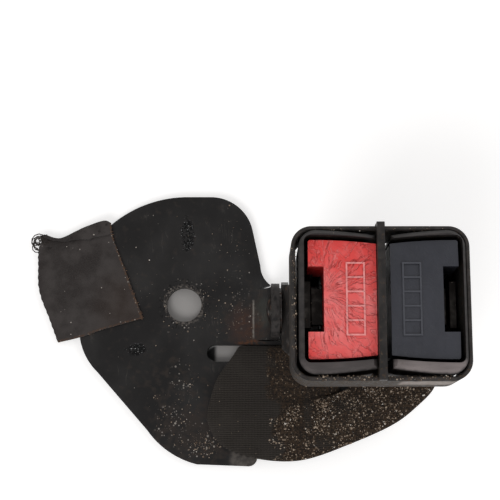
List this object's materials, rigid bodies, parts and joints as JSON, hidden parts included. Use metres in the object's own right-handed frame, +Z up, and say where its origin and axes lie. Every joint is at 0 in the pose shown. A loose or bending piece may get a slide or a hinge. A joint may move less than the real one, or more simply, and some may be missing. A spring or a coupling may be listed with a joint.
{
  "type": "seat belt buckle",
  "caption": "Rear belt buckle pair standing in one sleeve on a stalk and webbing, on a flat steel anchor plate with a bolt hole.",
  "frame": {"origin": "centre of the anchor bolt hole on the underside of the plate", "axes": "+Z is up out of the plate and out of the buckles' mouths, +X runs from the bolt hole towards the buckles, +Y is the plate's top edge in the picture"},
  "size_m": [0.148, 0.0997, 0.0814],
  "materials": {
    "black_plate": "satin black paint, dusty and scratched, with rust at worn edges",
    "rivet_steel": "black paint over steel, worn",
    "zinc_steel": "zinc plated pressing",
    "spring_steel": "drawn spring wire",
    "sleeve_plastic": "dull black polypropylene, dusty",
    "housing_plastic": "fine-textured black plastic, rubbed grey on the rim",
    "ejector_plastic": "plain black acetal",
    "red_button": "semi-gloss red plastic with fine scratches",
    "black_button": "satin blue-black plastic",
    "webbing": "black ribbed polyester webbing, dusty",
    "pad_cloth": "black woven tape with a frayed edge"
  },
  "bodies": {
    "anchor": {"anchor_plate": "black_plate", "cloth_pad": "pad_cloth", "anchor_strap_loop": "webbing", "belt_strap": "webbing", "pivot_rivet": "rivet_steel", "pivot_washer": "rivet_steel"},
    "head": {"stalk": "black_plate", "stalk_rivets": "rivet_steel", "twin_sleeve": "sleeve_plastic", "divider_plate": "sleeve_plastic", "buckle_strap_loop": "webbing", "red_button_spring": "spring_steel", "red_latch_pin": "rivet_steel", "red_latch_spring": "spring_steel", "red_ejector_spring": "spring_steel", "red_outer_shell": "housing_plastic", "red_inner_shell": "housing_plastic", "red_frame": "zinc_steel", "black_button_spring": "spring_steel", "black_latch_pin": "rivet_steel", "black_latch_spring": "spring_steel", "black_ejector_spring": "spring_steel", "black_outer_shell": "housing_plastic", "black_inner_shell": "housing_plastic", "black_frame": "zinc_steel"},
    "red_button": {"red_button": "red_button"},
    "red_latch": {"red_latch": "zinc_steel"},
    "red_ejector": {"red_ejector": "ejector_plastic"},
    "black_button": {"black_button": "black_button"},
    "black_latch": {"black_latch": "zinc_steel"},
    "black_ejector": {"black_ejector": "ejector_plastic"}
  },
  "joints": [
    {"name": "stalk_swing", "type": "hinge", "parent": "anchor", "child": "head", "pos_m": [0.0356, -0.0036, 0.0135], "axis": [1, 0, 0], "range_deg": [-18, 18], "deforming": ["belt_strap"]},
    {"name": "red_button_press", "type": "slide", "parent": "head", "child": "red_button", "axis": [0, 0, -1], "range_m": [0, 0.006], "stiffness_N_per_m": 600, "springref_m": -0.006, "deforming": ["red_button_spring"]},
    {"name": "red_latch_tilt", "type": "hinge", "parent": "head", "child": "red_latch", "pos_m": [0.0489, -0.0095, 0.038], "axis": [0, 1, 0], "range_deg": [0, 11], "deforming": ["red_latch_spring"]},
    {"name": "red_ejector_slide", "type": "slide", "parent": "head", "child": "red_ejector", "axis": [0, 0, -1], "range_m": [0, 0.007], "stiffness_N_per_m": 300, "springref_m": -0.006, "deforming": ["red_ejector_spring"]},
    {"name": "black_button_press", "type": "slide", "parent": "head", "child": "black_button", "axis": [0, 0, -1], "range_m": [0, 0.006], "stiffness_N_per_m": 600, "springref_m": -0.006, "deforming": ["black_button_spring"]},
    {"name": "black_latch_tilt", "type": "hinge", "parent": "head", "child": "black_latch", "pos_m": [0.0829, -0.0095, 0.038], "axis": [0, -1, 0], "range_deg": [0, 11], "deforming": ["black_latch_spring"]},
    {"name": "black_ejector_slide", "type": "slide", "parent": "head", "child": "black_ejector", "axis": [0, 0, -1], "range_m": [0, 0.007], "stiffness_N_per_m": 300, "springref_m": -0.006, "deforming": ["black_ejector_spring"]}
  ],
  "couplings": [
    {"joint": "red_latch_tilt", "follows": "red_button_press", "rad_per_m": 31.997},
    {"joint": "black_latch_tilt", "follows": "black_button_press", "rad_per_m": 31.997}
  ]
}
